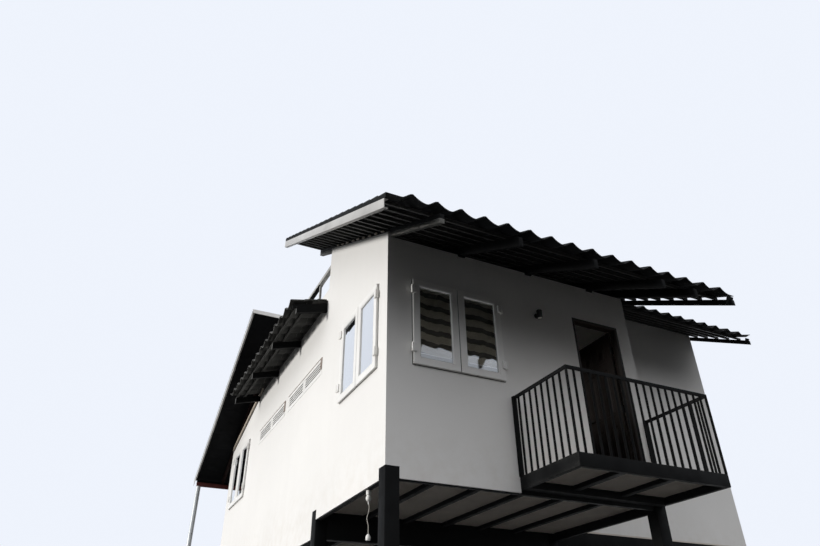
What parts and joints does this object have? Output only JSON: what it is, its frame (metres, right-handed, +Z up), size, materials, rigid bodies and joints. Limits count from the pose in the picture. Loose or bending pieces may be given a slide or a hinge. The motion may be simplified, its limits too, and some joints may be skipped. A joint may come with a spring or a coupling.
{
  "type": "stilt house",
  "caption": "Small framed house on square steel stilts with white walls, a railed balcony, tiled front roof and side awning, a roof terrace and a back lean-to roof.",
  "frame": {"origin": "on the ground, at the centre of the outline in plan", "axes": "+X to the right along the balcony front, +Y from the balcony to the back, +Z up"},
  "size_m": [8.3, 10, 7.5808],
  "materials": {
    "black_steel": "satin",
    "light_steel": "satin",
    "batten_steel": "dull, galvanised",
    "red_oxide_steel": "matte",
    "galvanised_pipe": "dull",
    "white_wall": "matte, painted cement board",
    "floor_board": "matte, pale board",
    "roof_tile": "matte, charcoal tile",
    "roof_sheet": "matte sheet",
    "window_white": "satin",
    "glass": "clear",
    "blind": "banded",
    "door_wood": "dark stain",
    "lamp_black": "satin",
    "lamp_white": "gloss",
    "cord": "matte"
  },
  "bodies": {
    "root": {"stilts": "black_steel", "floor_beams": "black_steel", "floor_joists": "black_steel", "balcony_frame": "black_steel", "railing_front": "black_steel", "railing_left": "black_steel", "railing_right": "black_steel", "front_rafters": "black_steel", "awning_frame": "black_steel", "front_battens": "batten_steel", "soffit_boards": "floor_board", "floor": "floor_board", "balcony_floor": "floor_board", "front_wall": "white_wall", "front_wall_over_door": "white_wall", "front_wall_corner": "white_wall", "block_side_walls": "white_wall", "left_wall_middle": "white_wall", "left_wall_back": "white_wall", "wing_front_wall": "white_wall", "right_wall": "white_wall", "back_wall": "white_wall", "terrace_walls": "white_wall", "terrace_floor": "white_wall", "door_frame": "door_wood", "door_leaf": "door_wood", "front_window": "window_white", "left_windows": "window_white", "right_windows": "window_white", "back_windows": "window_white", "left_vents": "window_white", "window_glass": "glass", "window_blinds": "blind", "verge_channels": "light_steel", "terrace_rails": "light_steel", "front_roof_tiles": "roof_tile", "wing_roof_tiles": "roof_tile", "awning_tiles": "roof_tile", "back_roof_sheet": "roof_sheet", "back_roof_frame": "red_oxide_steel", "pipe_posts": "galvanised_pipe", "wall_lamp": "lamp_black", "lamp_holder": "lamp_white", "lamp_socket": "lamp_white", "lamp_cord": "cord"}
  },
  "joints": []
}
